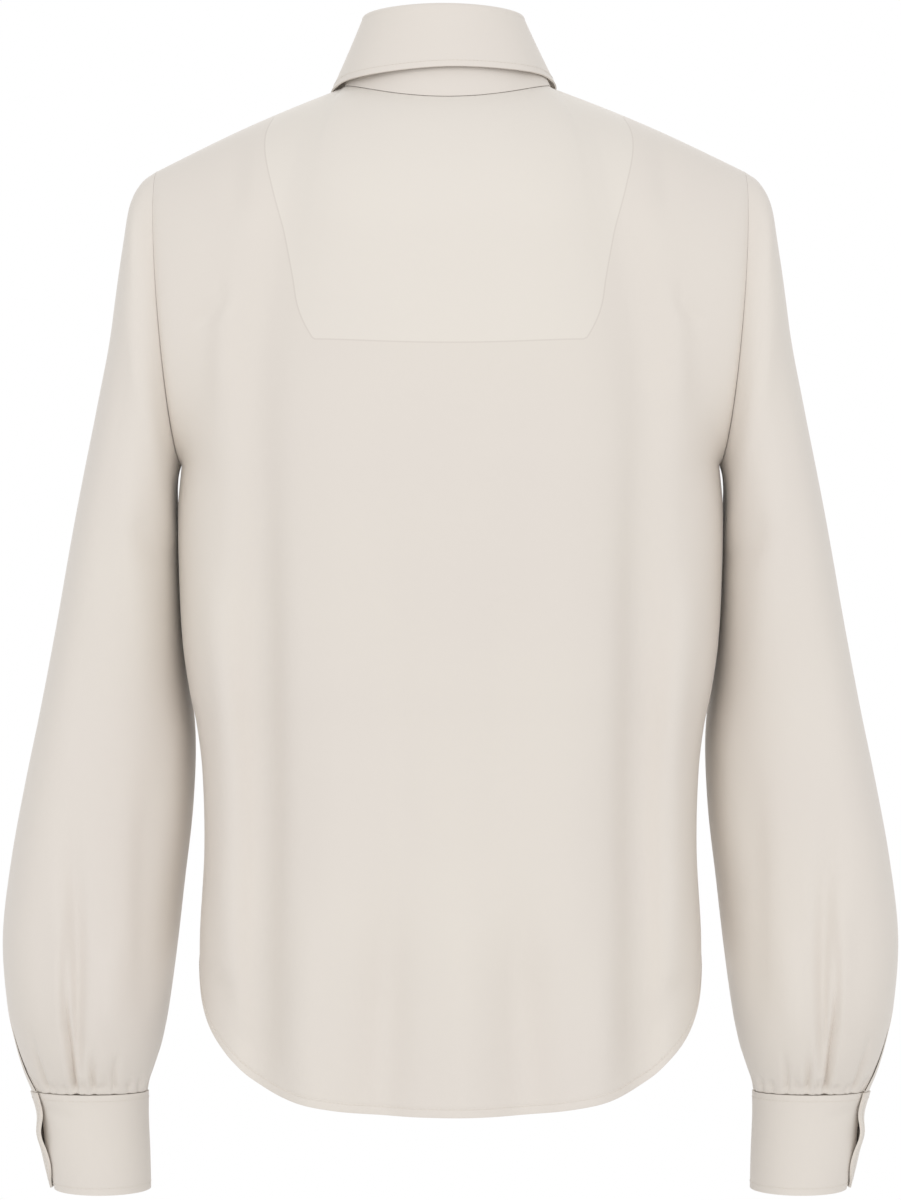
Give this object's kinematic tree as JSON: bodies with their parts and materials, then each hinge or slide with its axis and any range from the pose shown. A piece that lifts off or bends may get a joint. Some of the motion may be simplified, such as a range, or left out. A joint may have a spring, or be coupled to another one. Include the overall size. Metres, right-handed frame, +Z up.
{
  "type": "silk blouse",
  "caption": "Women's long-sleeved silk blouse, filled out and hollow, with a tall turned-down collar, a buttoned front, full sleeves gathered into lapped cuffs and a shirt-tail hem.",
  "frame": {"origin": "the middle of the neck at the height of the neckline seam, where the wearer's neck and shoulders hold the blouse", "axes": "+Z up along the wearer's spine, +Y towards the wearer's front, +X towards the wearer's right"},
  "size_m": [0.5738, 0.2255, 0.755],
  "materials": {
    "silk": "ivory crepe de chine silk with a soft low sheen",
    "button": "ivory mother-of-pearl look button, polished"
  },
  "bodies": {
    "root": {"back": "silk", "back_facing": "silk", "front_right": "silk", "front_left": "silk", "collar_stand": "silk", "collar_fall": "silk", "sleeve_left": "silk", "slit_binding_left": "silk", "cuff_left": "silk", "cuff_button_left_1": "button", "cuff_button_left_2": "button", "sleeve_right": "silk", "slit_binding_right": "silk", "cuff_right": "silk", "cuff_button_right_1": "button", "cuff_button_right_2": "button", "front_button_1": "button", "front_button_2": "button", "front_button_3": "button", "front_button_4": "button", "front_button_5": "button", "front_button_6": "button", "front_button_7": "button", "collar_button": "button"}
  },
  "joints": []
}
